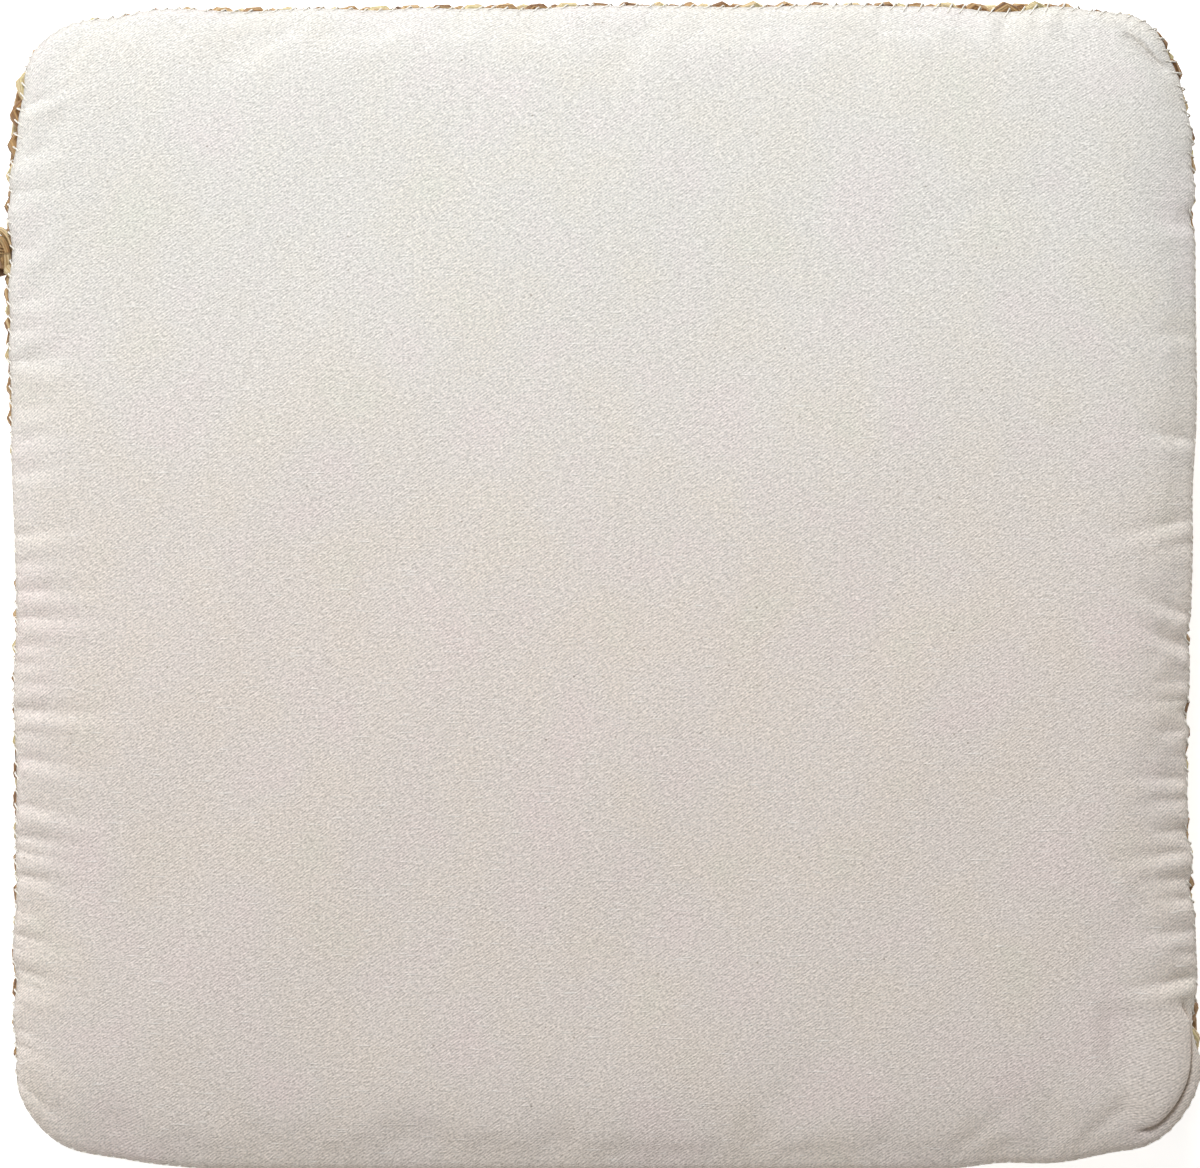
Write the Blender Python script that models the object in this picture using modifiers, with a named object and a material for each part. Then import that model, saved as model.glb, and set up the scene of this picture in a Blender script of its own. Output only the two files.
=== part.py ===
"""Square floor cushion, lying on its braided face with the cotton panel up.

The shell is a plait of dried water-hyacinth stalks, laid in closed rounds: flat rounds make the
face, and rounds stood on edge make the wall. A foam core in a cloth liner and a layer of wadding
fill it, and a crowned cotton panel, whip-stitched to the top round of the wall, closes it.

Frame: the origin is the middle of the braided face, on the floor. +Z points up, out of the cotton
panel, and +X runs along the longer side.
"""

import math

import bmesh
import bpy

# Driving dimensions, in metres
WIDTH = 0.500  # across X, outside the braid
DEPTH = 0.490  # across Y
CORNER_RADIUS = 0.044  # of the outer corners, in plan
HEIGHT = 0.090  # floor to the crown of the cotton panel
BRAID_THICKNESS = 0.012
WALL_ROUNDS = 3
WALL_PITCH = 0.022  # from one round of the wall to the next
FACE_ROUNDS = 10  # round the middle piece
GAP = 0.0003  # left between pieces that touch

# The plait
BRAID_EDGE = 0.003  # chamfer along a plait's four edges
INNER_RADIUS = 0.012  # the corner radius that the rounds tend to towards the middle
RADIUS_FADE = 0.66  # how much of the excess over INNER_RADIUS each round in keeps

# Threads and the bound end of the braid
THREAD_RADIUS = 0.0006
THREAD_DROP = 0.001  # a lacing thread's centre below the surface of the plaits that it joins
TAIL_LENGTH = 0.019  # along Y
TAIL_HEIGHT = 0.015
TAIL_PROUD = 0.006  # out from the wall
TAIL_Y = 0.140
TAIL_ROUNDING = 0.0018
BINDING_RADIUS = 0.0008
BINDING_CORNER = 0.0015

# Cotton panel, wadding, foam and liner
PANEL_THICKNESS = 0.0012
PANEL_INSET = 0.001  # of the panel's edge from the wall's outer face
HEM_WIDTH = 0.005
PLATEAU = 0.30  # the flat middle of the panel, as a share of its width
CROWN_POWER = 4  # higher is flatter on top and steeper at the hem
CROWN_RINGS = 7
RING_SPREAD = 1.6  # above 1 the rings crowd towards the hem, where the crown bends most
PADDING_CLEARANCE = 0.0012  # between the shell and what fills it
WADDING_EDGE = 0.007  # thickness at its edge
LINER_THICKNESS = 0.0008
FOAM_EDGE = 0.004
MOUTH_HEIGHT = 0.008  # the slit that the foam goes in by
MOUTH_STITCHES = 14

CORNER_STEPS = 5
CORNERS = 4

FACE_PITCH = DEPTH / 2 / (FACE_ROUNDS + 1)
WALL_FOOT = BRAID_THICKNESS + GAP
WALL_TOP = WALL_FOOT + WALL_ROUNDS * WALL_PITCH - GAP
PANEL_FOOT = WALL_TOP + GAP + 0.0001
CAVITY_INSET = BRAID_THICKNESS + PADDING_CLEARANCE
LINER_FOOT = BRAID_THICKNESS + GAP
WADDING_FOOT = WALL_TOP - WADDING_EDGE
LINER_TOP = WADDING_FOOT - GAP

COTTON = ("cotton_twill", (0.80, 0.76, 0.70), 0.95)
HYACINTH = ("hyacinth_braid", (0.52, 0.38, 0.20), 0.80)
THREAD = ("cotton_thread", (0.86, 0.83, 0.76), 0.90)
FOAM = ("foam", (0.90, 0.86, 0.70), 0.95)
WADDING = ("wadding", (0.93, 0.93, 0.92), 1.00)
LINER = ("liner_cloth", (0.88, 0.88, 0.86), 0.90)


def clear_scene():
    for old in list(bpy.data.objects):
        bpy.data.objects.remove(old)


def material(finish):
    name, colour, roughness = finish
    found = bpy.data.materials.get(name)
    if found:
        return found
    made = bpy.data.materials.new(name)
    made.use_nodes = True
    shader = made.node_tree.nodes["Principled BSDF"]
    shader.inputs["Base Color"].default_value = (*colour, 1.0)
    shader.inputs["Roughness"].default_value = roughness
    shader.inputs["Metallic"].default_value = 0.0
    return made


def place(name, data, finish):
    """A new object for the data, in the cushion's collection."""
    made = bpy.data.objects.new(name, data)
    data.materials.append(material(finish))
    cushion.objects.link(made)
    return made


def corner_radius(inset):
    """The plan radius of the outline that lies this far in from the outer one."""
    rounds_in = inset / FACE_PITCH
    return INNER_RADIUS + (CORNER_RADIUS - INNER_RADIUS) * RADIUS_FADE**rounds_in


def outline(inset, radius=None):
    """A rounded rectangle, anticlockwise, this far in from the cushion's outer one."""
    half_x, half_y = WIDTH / 2 - inset, DEPTH / 2 - inset
    r = corner_radius(inset) if radius is None else radius
    points = []
    for corner in range(CORNERS):
        start = corner * math.pi / 2
        side_x = 1 if corner in (0, 3) else -1
        side_y = 1 if corner in (0, 1) else -1
        for step in range(CORNER_STEPS + 1):
            angle = start + step * math.pi / 2 / CORNER_STEPS
            points.append(
                (
                    side_x * (half_x - r) + r * math.cos(angle),
                    side_y * (half_y - r) + r * math.sin(angle),
                )
            )
    return points


def wall_outline(inset):
    """An outline inside the wall, where every round turns about the same corner centres."""
    return outline(inset, max(CORNER_RADIUS - inset, INNER_RADIUS))


def add_spline(curve, points, z=0.0, cyclic=True):
    spline = curve.splines.new("POLY")
    spline.points.add(len(points) - 1)
    for knot, (x, y) in zip(spline.points, points):
        knot.co = (x, y, z, 1.0)
    spline.use_cyclic_u = cyclic
    return spline


def plate(name, finish, outlines, low, high, edge):
    """A flat piece from outer and inner outlines, with chamfered edges, between two heights."""
    curve = bpy.data.curves.new(name, "CURVE")
    curve.dimensions = "2D"
    curve.fill_mode = "BOTH"
    curve.bevel_resolution = 0
    curve.bevel_depth = edge
    curve.offset = -edge
    curve.extrude = (high - low) / 2 - edge
    for number, points in enumerate(outlines):
        add_spline(curve, points if number == 0 else points[::-1])
    made = place(name, curve, finish)
    made.location.z = (low + high) / 2
    return made


def thread(name, finish, points, z, radius=THREAD_RADIUS, cyclic=True):
    """A round thread along points at one height."""
    curve = bpy.data.curves.new(name, "CURVE")
    curve.dimensions = "3D"
    curve.bevel_depth = radius
    curve.bevel_resolution = 1
    curve.use_fill_caps = True
    add_spline(curve, points, z, cyclic)
    return place(name, curve, finish)


def braided_face():
    """Flat rounds from the outer edge inwards, the doubled plait in the middle, and their lacing."""
    for number in range(FACE_ROUNDS):
        inset = number * FACE_PITCH
        rims = [outline(inset + GAP / 2), outline(inset + FACE_PITCH - GAP / 2)]
        if number == 0:
            rims[0] = outline(inset)
        plate(f"face_braid_{number + 1:02d}", HYACINTH, rims, 0.0, BRAID_THICKNESS, BRAID_EDGE)
        thread(
            f"face_lacing_{number + 1:02d}",
            THREAD,
            outline(inset + FACE_PITCH),
            BRAID_THICKNESS - THREAD_DROP,
        )
    middle = outline(FACE_ROUNDS * FACE_PITCH + GAP / 2)
    plate("face_braid_middle", HYACINTH, [middle], 0.0, BRAID_THICKNESS, BRAID_EDGE)


def braided_wall():
    """Rounds on edge, one above the other, and the threads that lace them inside."""
    for number in range(WALL_ROUNDS):
        low = WALL_FOOT + number * WALL_PITCH
        rims = [wall_outline(0.0), wall_outline(BRAID_THICKNESS)]
        plate(f"wall_braid_{number + 1}", HYACINTH, rims, low, low + WALL_PITCH - GAP, BRAID_EDGE)
        if number == 0:
            lacing = wall_outline(BRAID_THICKNESS - THREAD_RADIUS)
            thread("wall_lacing_1", THREAD, lacing, low + THREAD_DROP)
        else:
            lacing = wall_outline(BRAID_THICKNESS - THREAD_DROP)
            thread(f"wall_lacing_{number + 1}", THREAD, lacing, low - GAP / 2)


def crown(share):
    """The panel's height over its hem, from 0 at the hem (share 1) to 1 on the flat middle."""
    return math.sqrt((1 - share**CROWN_POWER) / (1 - PLATEAU**CROWN_POWER))


def grow(bm, loop, scale, rise):
    """Extrudes a loop of edges, scaled about the middle and lifted, and gives the new loop."""
    made = bmesh.ops.extrude_edge_only(bm, edges=loop)["geom"]
    verts = [g for g in made if isinstance(g, bmesh.types.BMVert)]
    bmesh.ops.scale(bm, verts=verts, vec=(scale, scale, 1.0))
    bmesh.ops.translate(bm, verts=verts, vec=(0.0, 0.0, rise))
    return [g for g in made if isinstance(g, bmesh.types.BMEdge) and g.is_boundary]


def start_loop(bm, points, z):
    """A closed loop of edges through points at one height."""
    verts = [bm.verts.new((x, y, z)) for x, y in points]
    return [bm.edges.new((verts[i - 1], verts[i])) for i in range(len(verts))]


def add_crown(bm, loop, foot, top):
    """Closes a loop with a crowned top, flat in the middle."""
    scale, height = 1.0, foot
    for ring in range(1, CROWN_RINGS + 1):
        share = 1.0 - (1.0 - PLATEAU) * (ring / CROWN_RINGS) ** RING_SPREAD
        next_scale, next_height = share, foot + (top - foot) * crown(share)
        loop = grow(bm, loop, next_scale / scale, next_height - height)
        scale, height = next_scale, next_height
    bmesh.ops.contextual_create(bm, geom=loop)


def to_mesh(bm, name):
    mesh = bpy.data.meshes.new(name)
    bmesh.ops.recalc_face_normals(bm, faces=bm.faces)
    bm.to_mesh(mesh)
    bm.free()
    return mesh


def cotton_panel():
    """The crowned sheet that closes the shell, and the overcast thread that sews down its hem."""
    top = HEIGHT - PANEL_THICKNESS
    hem_share = 1.0 - HEM_WIDTH / (DEPTH / 2 - PANEL_INSET)
    bm = bmesh.new()
    edge = start_loop(bm, wall_outline(PANEL_INSET), PANEL_FOOT)
    hem = grow(bm, edge, hem_share, 0.0)
    add_crown(bm, hem, PANEL_FOOT, top)
    sheet = place("cotton_panel", to_mesh(bm, "cotton_panel"), COTTON)
    shell = sheet.modifiers.new("cloth", "SOLIDIFY")
    shell.thickness = PANEL_THICKNESS
    shell.offset = 1.0
    thread("edge_whipstitch", THREAD, wall_outline(PANEL_INSET), WALL_TOP - THREAD_RADIUS)


def wadding_layer():
    """Fibre wadding between the foam and the cotton, which gives the panel its crown."""
    top = HEIGHT - PANEL_THICKNESS - GAP
    bm = bmesh.new()
    foot = start_loop(bm, wall_outline(CAVITY_INSET), WADDING_FOOT)
    edge = grow(bm, foot, 1.0, WADDING_EDGE)
    add_crown(bm, edge, WALL_TOP, top)
    bmesh.ops.contextual_create(bm, geom=foot)
    place("wadding_layer", to_mesh(bm, "wadding_layer"), WADDING)


def foam_core():
    inset = CAVITY_INSET + LINER_THICKNESS + GAP
    low, high = LINER_FOOT + LINER_THICKNESS + GAP, LINER_TOP - LINER_THICKNESS - GAP
    plate("foam_core", FOAM, [wall_outline(inset)], low, high, FOAM_EDGE)


def inner_liner():
    """A fitted bag round the foam. The slit in its -Y side, which the foam goes in by, is sewn up."""
    inset = CAVITY_INSET + LINER_THICKNESS
    low, high = LINER_FOOT + LINER_THICKNESS, LINER_TOP - LINER_THICKNESS
    mouth = (low + high) / 2
    rises = [mouth - MOUTH_HEIGHT / 2 - low, MOUTH_HEIGHT, high - mouth - MOUTH_HEIGHT / 2]
    bm = bmesh.new()
    foot = loop = start_loop(bm, wall_outline(inset), low)
    for rise in rises:
        loop = grow(bm, loop, 1.0, rise)
    bmesh.ops.contextual_create(bm, geom=loop)
    bmesh.ops.contextual_create(bm, geom=foot)
    bm.normal_update()
    band = [f for f in bm.faces if abs(f.calc_center_median().z - mouth) < GAP]
    slit = min(band, key=lambda face: face.calc_center_median().y)
    slit_y = slit.calc_center_median().y
    left, right = min(v.co.x for v in slit.verts), max(v.co.x for v in slit.verts)
    bmesh.ops.delete(bm, geom=[slit], context="FACES_ONLY")
    bag = place("inner_liner", to_mesh(bm, "inner_liner"), LINER)
    shell = bag.modifiers.new("cloth", "SOLIDIFY")
    shell.thickness = LINER_THICKNESS
    shell.offset = 1.0
    shell.use_even_offset = True
    closing_thread(left, right, slit_y, mouth)


def closing_thread(left, right, y, mouth):
    """A zigzag thread from lip to lip of the liner's slit."""
    clearance = 4 * THREAD_RADIUS
    swing = MOUTH_HEIGHT / 2 - clearance
    span = right - left - 2 * clearance
    curve = bpy.data.curves.new("liner_closing_thread", "CURVE")
    curve.dimensions = "3D"
    curve.bevel_depth = THREAD_RADIUS
    curve.bevel_resolution = 0
    curve.use_fill_caps = True
    spline = curve.splines.new("POLY")
    spline.points.add(MOUTH_STITCHES)
    for number, knot in enumerate(spline.points):
        x = left + clearance + span * number / MOUTH_STITCHES
        knot.co = (x, y - LINER_THICKNESS / 2, mouth + swing * (-1) ** number, 1.0)
    place("liner_closing_thread", curve, THREAD)


def braid_tail():
    """The end of the top round, doubled over against the wall on the -X side and bound."""
    bm = bmesh.new()
    bmesh.ops.create_cube(bm, size=1.0)
    bmesh.ops.scale(bm, verts=bm.verts, vec=(TAIL_PROUD, TAIL_LENGTH, TAIL_HEIGHT))
    tail = place("braid_tail", to_mesh(bm, "braid_tail"), HYACINTH)
    rounding = tail.modifiers.new("rounding", "BEVEL")
    rounding.width = TAIL_ROUNDING
    rounding.segments = 2
    wall_face = -WIDTH / 2 - GAP
    middle = WALL_TOP - WALL_PITCH / 2
    tail.location = (wall_face - TAIL_PROUD / 2, TAIL_Y, middle)
    tail_binding(wall_face, middle)


def tail_binding(wall_face, middle):
    """A turn of thread over the tail, in the plane across its length, open where the wall is."""
    out = TAIL_PROUD + BINDING_RADIUS + GAP
    half = TAIL_HEIGHT / 2 + BINDING_RADIUS + GAP
    near = BINDING_RADIUS + GAP
    corner = BINDING_CORNER
    path = [
        (-near, -half),
        (-out + corner, -half),
        (-out, -half + corner),
        (-out, half - corner),
        (-out + corner, half),
        (-near, half),
    ]
    curve = bpy.data.curves.new("tail_binding", "CURVE")
    curve.dimensions = "3D"
    curve.bevel_depth = BINDING_RADIUS
    curve.bevel_resolution = 1
    curve.use_fill_caps = True
    spline = curve.splines.new("POLY")
    spline.points.add(len(path) - 1)
    for knot, (x, z) in zip(spline.points, path):
        knot.co = (x, 0.0, z, 1.0)
    binding = place("tail_binding", curve, THREAD)
    binding.location = (wall_face, TAIL_Y, middle)


clear_scene()
cushion = bpy.data.collections.new("floor_cushion")
bpy.context.scene.collection.children.link(cushion)
braided_face()
braided_wall()
braid_tail()
inner_liner()
foam_core()
wadding_layer()
cotton_panel()
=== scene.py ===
"""The finished look of a square floor cushion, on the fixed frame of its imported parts.

The cushion lies on its plaited face with its cotton panel up. +Z points up, out of the cotton,
and +X runs along the longer side. All lengths are in metres unless a name says mm.
"""

import math
import random

import bmesh
import bpy
import numpy as np
from bpy.props import FloatProperty, IntProperty, PointerProperty, StringProperty
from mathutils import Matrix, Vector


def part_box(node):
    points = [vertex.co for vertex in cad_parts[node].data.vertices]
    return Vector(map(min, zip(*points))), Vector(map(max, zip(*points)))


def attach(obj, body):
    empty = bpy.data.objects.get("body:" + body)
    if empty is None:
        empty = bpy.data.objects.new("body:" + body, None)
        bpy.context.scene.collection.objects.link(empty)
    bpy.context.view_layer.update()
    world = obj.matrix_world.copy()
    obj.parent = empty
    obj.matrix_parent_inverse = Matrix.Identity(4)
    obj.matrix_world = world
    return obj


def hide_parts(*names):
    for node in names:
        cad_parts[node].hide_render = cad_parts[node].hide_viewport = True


bl_info = {
    "name": "Plaited Floor Cushion",
    "version": (1, 0, 0),
    "blender": (4, 5, 0),
    "location": "View3D > Sidebar > Cushion",
    "description": "Builds a plaited floor cushion with a whip-stitched cotton panel",
    "category": "Add Mesh",
}

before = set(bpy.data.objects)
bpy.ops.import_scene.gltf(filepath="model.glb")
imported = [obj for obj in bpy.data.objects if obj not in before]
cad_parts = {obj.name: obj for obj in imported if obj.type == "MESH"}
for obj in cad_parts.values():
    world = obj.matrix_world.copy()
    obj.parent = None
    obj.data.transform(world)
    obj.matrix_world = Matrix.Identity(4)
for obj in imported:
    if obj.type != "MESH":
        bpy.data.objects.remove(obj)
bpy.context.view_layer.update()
HALF_X, HALF_Y, WALL_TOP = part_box("wall_braid_3")[1]
FACE_ROUNDS = sorted(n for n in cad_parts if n.startswith("face_braid_") and n[-1].isdigit())
WALL_ROUNDS = sorted(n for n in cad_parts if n.startswith("wall_braid_"))
FACE_LACINGS = sorted(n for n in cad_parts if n.startswith("face_lacing_"))
WALL_LACINGS = sorted(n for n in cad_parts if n.startswith("wall_lacing_"))
FACE_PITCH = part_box(FACE_ROUNDS[0])[1].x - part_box(FACE_ROUNDS[1])[1].x
BRAID_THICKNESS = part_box(FACE_ROUNDS[0])[1].z
MM = 0.001

# Corner radii of the rounds in plan, which tighten towards the middle
CORNER_RADIUS = 0.044
INNER_RADIUS = 0.012
RADIUS_FADE = 0.66
STRAIGHT_X, STRAIGHT_Y = HALF_X - CORNER_RADIUS, HALF_Y - CORNER_RADIUS

# The lacing: length of a stitch, its reach across the groove and into the plaits, twine's radius
LACE_STITCH, LACE_REACH, LACE_DEPTH, TWINE_RADIUS = 0.0135, 0.0032, 0.0042, 0.0006
# The crown: shares that rise at the hem and over the roll, and how far in each part rises
EDGE_SHARE, ROLL_SHARE = 0.26, 0.67
EDGE_RUN, ROLL_RUN, MIDDLE_RUN = 0.0030, 0.0125, 0.060
# How far the cotton's hem stands over the wall's top, and its underside below it
HEM_LIFT = 0.0004

# Where the maker's hand pulled a side in, in mm: (place along it, spread, how far in)
SIDE_PULLS = {
    "+Y": ((-150, 90, 2.0), (-212, 18, 3.2), (186, 12, -0.9), (210, 12, 2.4), (235, 14, -1.0)),
    "-X": ((20, 45, 2.8), (-110, 80, 1.8), (125, 70, -2.2)),
    "+X": (
        (-50, 80, 3.2), (120, 60, 0.8), (207, 14, 2.8), (-198, 26, -2.2), (-90, 14, 1.6),
        (40, 20, 1.0),
    ),
    "-Y": ((200, 40, 2.4), (214, 14, 3.4), (167, 14, 1.6), (-212, 16, 3.2), (-190, 20, 1.2)),
}
# How far the weight of the filling rounds off each corner, in mm
CORNER_PULLS = {(1, 1): 2.4, (-1, 1): 3.0, (-1, -1): 3.8, (1, -1): 1.6}
# How far the cotton's edge lies inside the plait's and lets it show, in mm, likewise
COTTON_PULLS = {
    "+Y": (
        (-205, 12, 0.9), (-152, 22, 1.6), (-95, 16, 1.3), (-60, 12, 1.0), (-32, 14, 1.4),
        (20, 150, 1.5), (60, 22, 0.8), (128, 18, 0.9), (170, 22, 3.6),
    ),
    "-X": (
        (208, 12, 4.2), (186, 14, 3.4), (163, 6, 1.6), (139, 14, 3.4), (112, 12, 2.2),
        (82, 22, 2.0), (-20, 20, 1.3), (-80, 30, 1.7), (-130, 18, 1.4), (-168, 10, 2.2),
        (-198, 14, 2.0), (30, 18, -0.4),
    ),
    "+X": (
        (223, 10, 2.8), (203, 12, 1.2), (178, 8, 1.5), (154, 6, 2.1), (-22, 5, 1.5),
        (-54, 5, 2.1), (-71, 6, 1.6), (-105, 5, 2.0), (-127, 7, 1.9), (-187, 12, 4.6),
        (80, 40, -0.6),
    ),
    "-Y": ((0, 400, -1.7),),
}
# Where the stitches bite further into the cotton, in mm, likewise
LONG_BITES = {
    "+Y": ((150, 45, 1.4), (205, 20, 1.2)),
    "-X": ((195, 22, 1.4),),
    "+X": ((220, 14, 1.6), (190, 16, 1.0)),
}
# Puckers in the cotton: (place along the side in mm, reach in mm, slant, depth share)
PUCKERS = {
    "-X": (
        (201, 24, 0.38, 0.60), (179, 26, 0.16, 0.30), (164, 20, 0.10, 0.30),
        (140, 13, 0.00, 0.35), (118, 18, 0.10, 0.35), (106, 15, 0.08, 0.35), (93, 22, 0.02, 0.50),
        (73, 14, 0.00, 0.30), (60, 18, 0.05, 0.28), (46, 20, 0.12, 0.35), (20, 24, 0.12, 0.50),
        (9, 18, 0.00, 0.35), (-3, 24, 0.00, 0.60), (-14, 30, -0.03, 0.62), (-26, 15, 0.00, 0.50),
        (-34, 14, 0.05, 0.55), (-42, 17, 0.00, 0.50), (-53, 34, -0.05, 0.95),
        (-62, 18, -0.05, 0.35), (-73, 28, -0.15, 0.65), (-92, 26, -0.22, 0.75),
        (-106, 24, -0.12, 0.65), (-112, 20, -0.18, 0.95), (-122, 22, -0.18, 0.75),
        (-137, 9, -0.30, 0.60), (-147, 16, -0.25, 0.70), (-153, 14, -0.22, 0.60),
        (-162, 18, -0.25, 0.75), (-168, 20, -0.25, 0.65), (-187, 10, -0.40, 0.60),
        (-194, 12, -0.45, 0.60), (-208, 15, -0.95, 0.75),
    ),
    "+X": (
        (150, 16, 0.10, 0.30), (104, 18, 0.00, 0.30), (60, 18, 0.15, 0.72), (27, 30, -0.20, 0.66),
        (16, 12, 0.00, 0.54), (-14, 19, 0.40, 1.08), (-28, 17, 0.45, 1.15), (-41, 12, 0.00, 0.60),
        (-49, 22, 0.00, 0.66), (-62, 12, 0.00, 0.60), (-82, 19, 0.05, 0.90),
        (-91, 12, 0.00, 0.72), (-104, 17, 0.00, 0.72), (-112, 23, -0.10, 0.84),
        (-124, 17, 0.00, 0.78), (-132, 12, 0.00, 1.02), (-146, 19, -0.05, 0.72),
        (-155, 10, 0.00, 0.60), (-165, 25, -0.20, 1.15),
    ),
    "+Y": (
        (-160, 7, 0.10, 0.20), (-60, 7, 0.00, 0.20), (20, 8, 0.05, 0.25), (41, 7, -0.05, 0.20),
        (116, 9, 0.00, 0.30), (150, 9, 0.05, 0.35), (168, 13, -0.05, 0.60),
        (183, 10, -0.10, 0.45), (195, 10, -0.20, 0.50),
    ),
}
# Creases in the cotton, in mm: start, end, bow, depth and half-width
CREASES = (
    ((112, 138), (200, 165), 8.0, 0.34, 3.4),
    ((166, 80), (205, 22), -4.0, 0.40, 3.8),
    ((50, 120), (120, 108), 3.0, 0.20, 3.4),
    ((-30, -198), (-8, -214), 2.0, 0.35, 3.0),
    ((-155, -150), (-120, -196), 3.0, 0.25, 3.6),
    ((10, 52), (-40, 30), 2.0, 0.16, 4.0),
    ((220, 234), (243, 217), -0.6, 4.00, 1.3),
)
# The pleat round the front right corner: run of cloth in from its edge, inset and height, in mm
PLEAT = (
    (0.0, 0.2, -0.6), (1.2, 0.2, 0.6), (2.4, 1.5, 1.9), (4.0, 3.3, 2.2), (5.4, 5.2, 1.0),
    (6.2, 6.4, 0.0), (6.9, 6.0, 1.0), (7.8, 4.9, 2.9), (9.0, 5.0, 4.9), (11.0, 6.9, 6.5),
    (14.0, 10.4, 7.5), (18.0, 15.3, 8.1), (24.0, 22.6, 8.7), (30.0, 29.8, 9.1), (36.0, 36.0, 9.4),
    (250.0, 250.0, 9.4),
)


class CottonSettings(bpy.types.PropertyGroup):
    crown: FloatProperty(
        name="Crown",
        description="Height of the panel's middle over the wall, before it settles",
        default=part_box("cotton_panel")[1].z - WALL_TOP - 0.0020,
        unit="LENGTH",
    )
    roll: FloatProperty(
        name="Edge Roll",
        description="How far the rolled edge bulges out over its hem",
        default=0.0010,
        unit="LENGTH",
    )
    pucker: FloatProperty(
        name="Pucker Depth",
        description="Depth of the deepest puckers",
        default=0.0027, unit="LENGTH",
    )
    grid: FloatProperty(
        name="Grid",
        description="Spacing of the cloth's coarse mesh",
        default=0.0032, unit="LENGTH",
    )
    weave: FloatProperty(
        name="Twill Pitch",
        description="Distance from one twill line to the next",
        default=0.00108,
        unit="LENGTH",
    )
    frames: IntProperty(name="Frames", description="Frames that the cotton settles for", default=20)
    settling_grid: FloatProperty(
        name="Settling Grid",
        description="Spacing of the cloth that settles",
        default=0.0055, unit="LENGTH",
    )
    pressure: FloatProperty(
        name="Pressure",
        description="Push of the wadding under the cotton, in kilopascals",
        default=0.8,
    )
    fullness: FloatProperty(
        name="Fullness",
        description="Share by which the cotton is cut too large",
        default=0.008,
    )
    cap: FloatProperty(
        name="Cap",
        description="How far the settling may move the cotton",
        default=0.0018, unit="LENGTH",
    )
    colour: StringProperty(name="Cotton", description="Unbleached cotton, sRGB", default="E1DBD1")


class PlaitSettings(bpy.types.PropertyGroup):
    period: FloatProperty(
        name="Plait Period",
        description="Length in which a strand crosses the plait and comes back",
        default=0.040,
        unit="LENGTH",
    )
    strand_width: FloatProperty(
        name="Strand Width",
        description="Width of one flattened strand",
        default=0.0092, unit="LENGTH",
    )
    strand_thickness: FloatProperty(
        name="Strand Thickness",
        description="Thickness of one strand",
        default=0.0060, unit="LENGTH",
    )
    samples: IntProperty(
        name="Samples",
        description="Points of a strand's path in one plait period",
        default=12,
    )


class StitchSettings(bpy.types.PropertyGroup):
    pitch: FloatProperty(
        name="Stitch Pitch",
        description="Distance from stitch to stitch",
        default=0.006, unit="LENGTH",
    )
    thread: FloatProperty(
        name="Thread",
        description="Diameter of the sewing thread",
        default=0.0007, unit="LENGTH",
    )
    slant: FloatProperty(
        name="Slant",
        description="How far a stitch runs along the edge",
        default=0.0034, unit="LENGTH",
    )
    bite: FloatProperty(
        name="Bite",
        description="How far in from its edge the cotton is pierced",
        default=0.0011, unit="LENGTH",
    )


class StageSettings(bpy.types.PropertyGroup):
    distance: FloatProperty(
        name="Camera Distance",
        description="Camera's height over the cotton",
        default=2.4, unit="LENGTH",
    )
    width: FloatProperty(
        name="Framed Width",
        description="Width seen at the cotton's hem",
        default=0.504, unit="LENGTH",
    )


# Colour and materials


def linear(hex_colour):
    """An sRGB hex colour as linear RGBA."""
    channels = [int(hex_colour[i : i + 2], 16) / 255 for i in (0, 2, 4)]
    return (*(c / 12.92 if c <= 0.04045 else ((c + 0.055) / 1.055) ** 2.4 for c in channels), 1.0)


def add_node(tree, kind, inputs=None, stops=(), **settings):
    """Adds a node with its settings and colour stops, and sets or links its inputs."""
    node = tree.nodes.new("ShaderNode" + kind)
    for key, value in settings.items():
        setattr(node, key, value)
    for number, (position, colour) in enumerate(stops):
        elements = node.color_ramp.elements
        element = elements[number] if number < len(elements) else elements.new(position)
        element.position = position
        element.color = linear(colour)
    for key, value in (inputs or {}).items():
        if isinstance(value, bpy.types.Node):
            value = next(socket for socket in value.outputs if socket.enabled)
        if isinstance(value, bpy.types.NodeSocket):
            tree.links.new(value, node.inputs[key])
        else:
            node.inputs[key].default_value = value
    return node


def start_material(name):
    """A new material and its empty node tree."""
    made = bpy.data.materials.new(name)
    made.use_nodes = True
    made.node_tree.nodes.clear()
    return made, made.node_tree


def finish_material(made, colour, height, depth, strength, surface):
    """Gives a material its colour, a bump of a depth in metres and the rest of its shader."""
    tree = made.node_tree
    relief = add_node(tree, "Bump", {"Height": height, "Distance": depth, "Strength": strength})
    inputs = {"Metallic": 0.0, "IOR": 1.5, "Base Color": colour, "Normal": relief, **surface}
    shader = add_node(tree, "BsdfPrincipled", inputs)
    add_node(tree, "OutputMaterial", {"Surface": shader})
    return made


def plain_material(name, texture, inputs, stops, relief, surface):
    """A material with one texture in object space, which gives its colour and its bump."""
    made, tree = start_material(name)
    place = add_node(tree, "TexCoord").outputs["Object"]
    grain = add_node(tree, texture, {"Vector": place, **inputs})
    colour = add_node(tree, "ValToRGB", {"Fac": grain}, stops=stops)
    return finish_material(made, colour, grain, *relief, surface)


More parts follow.
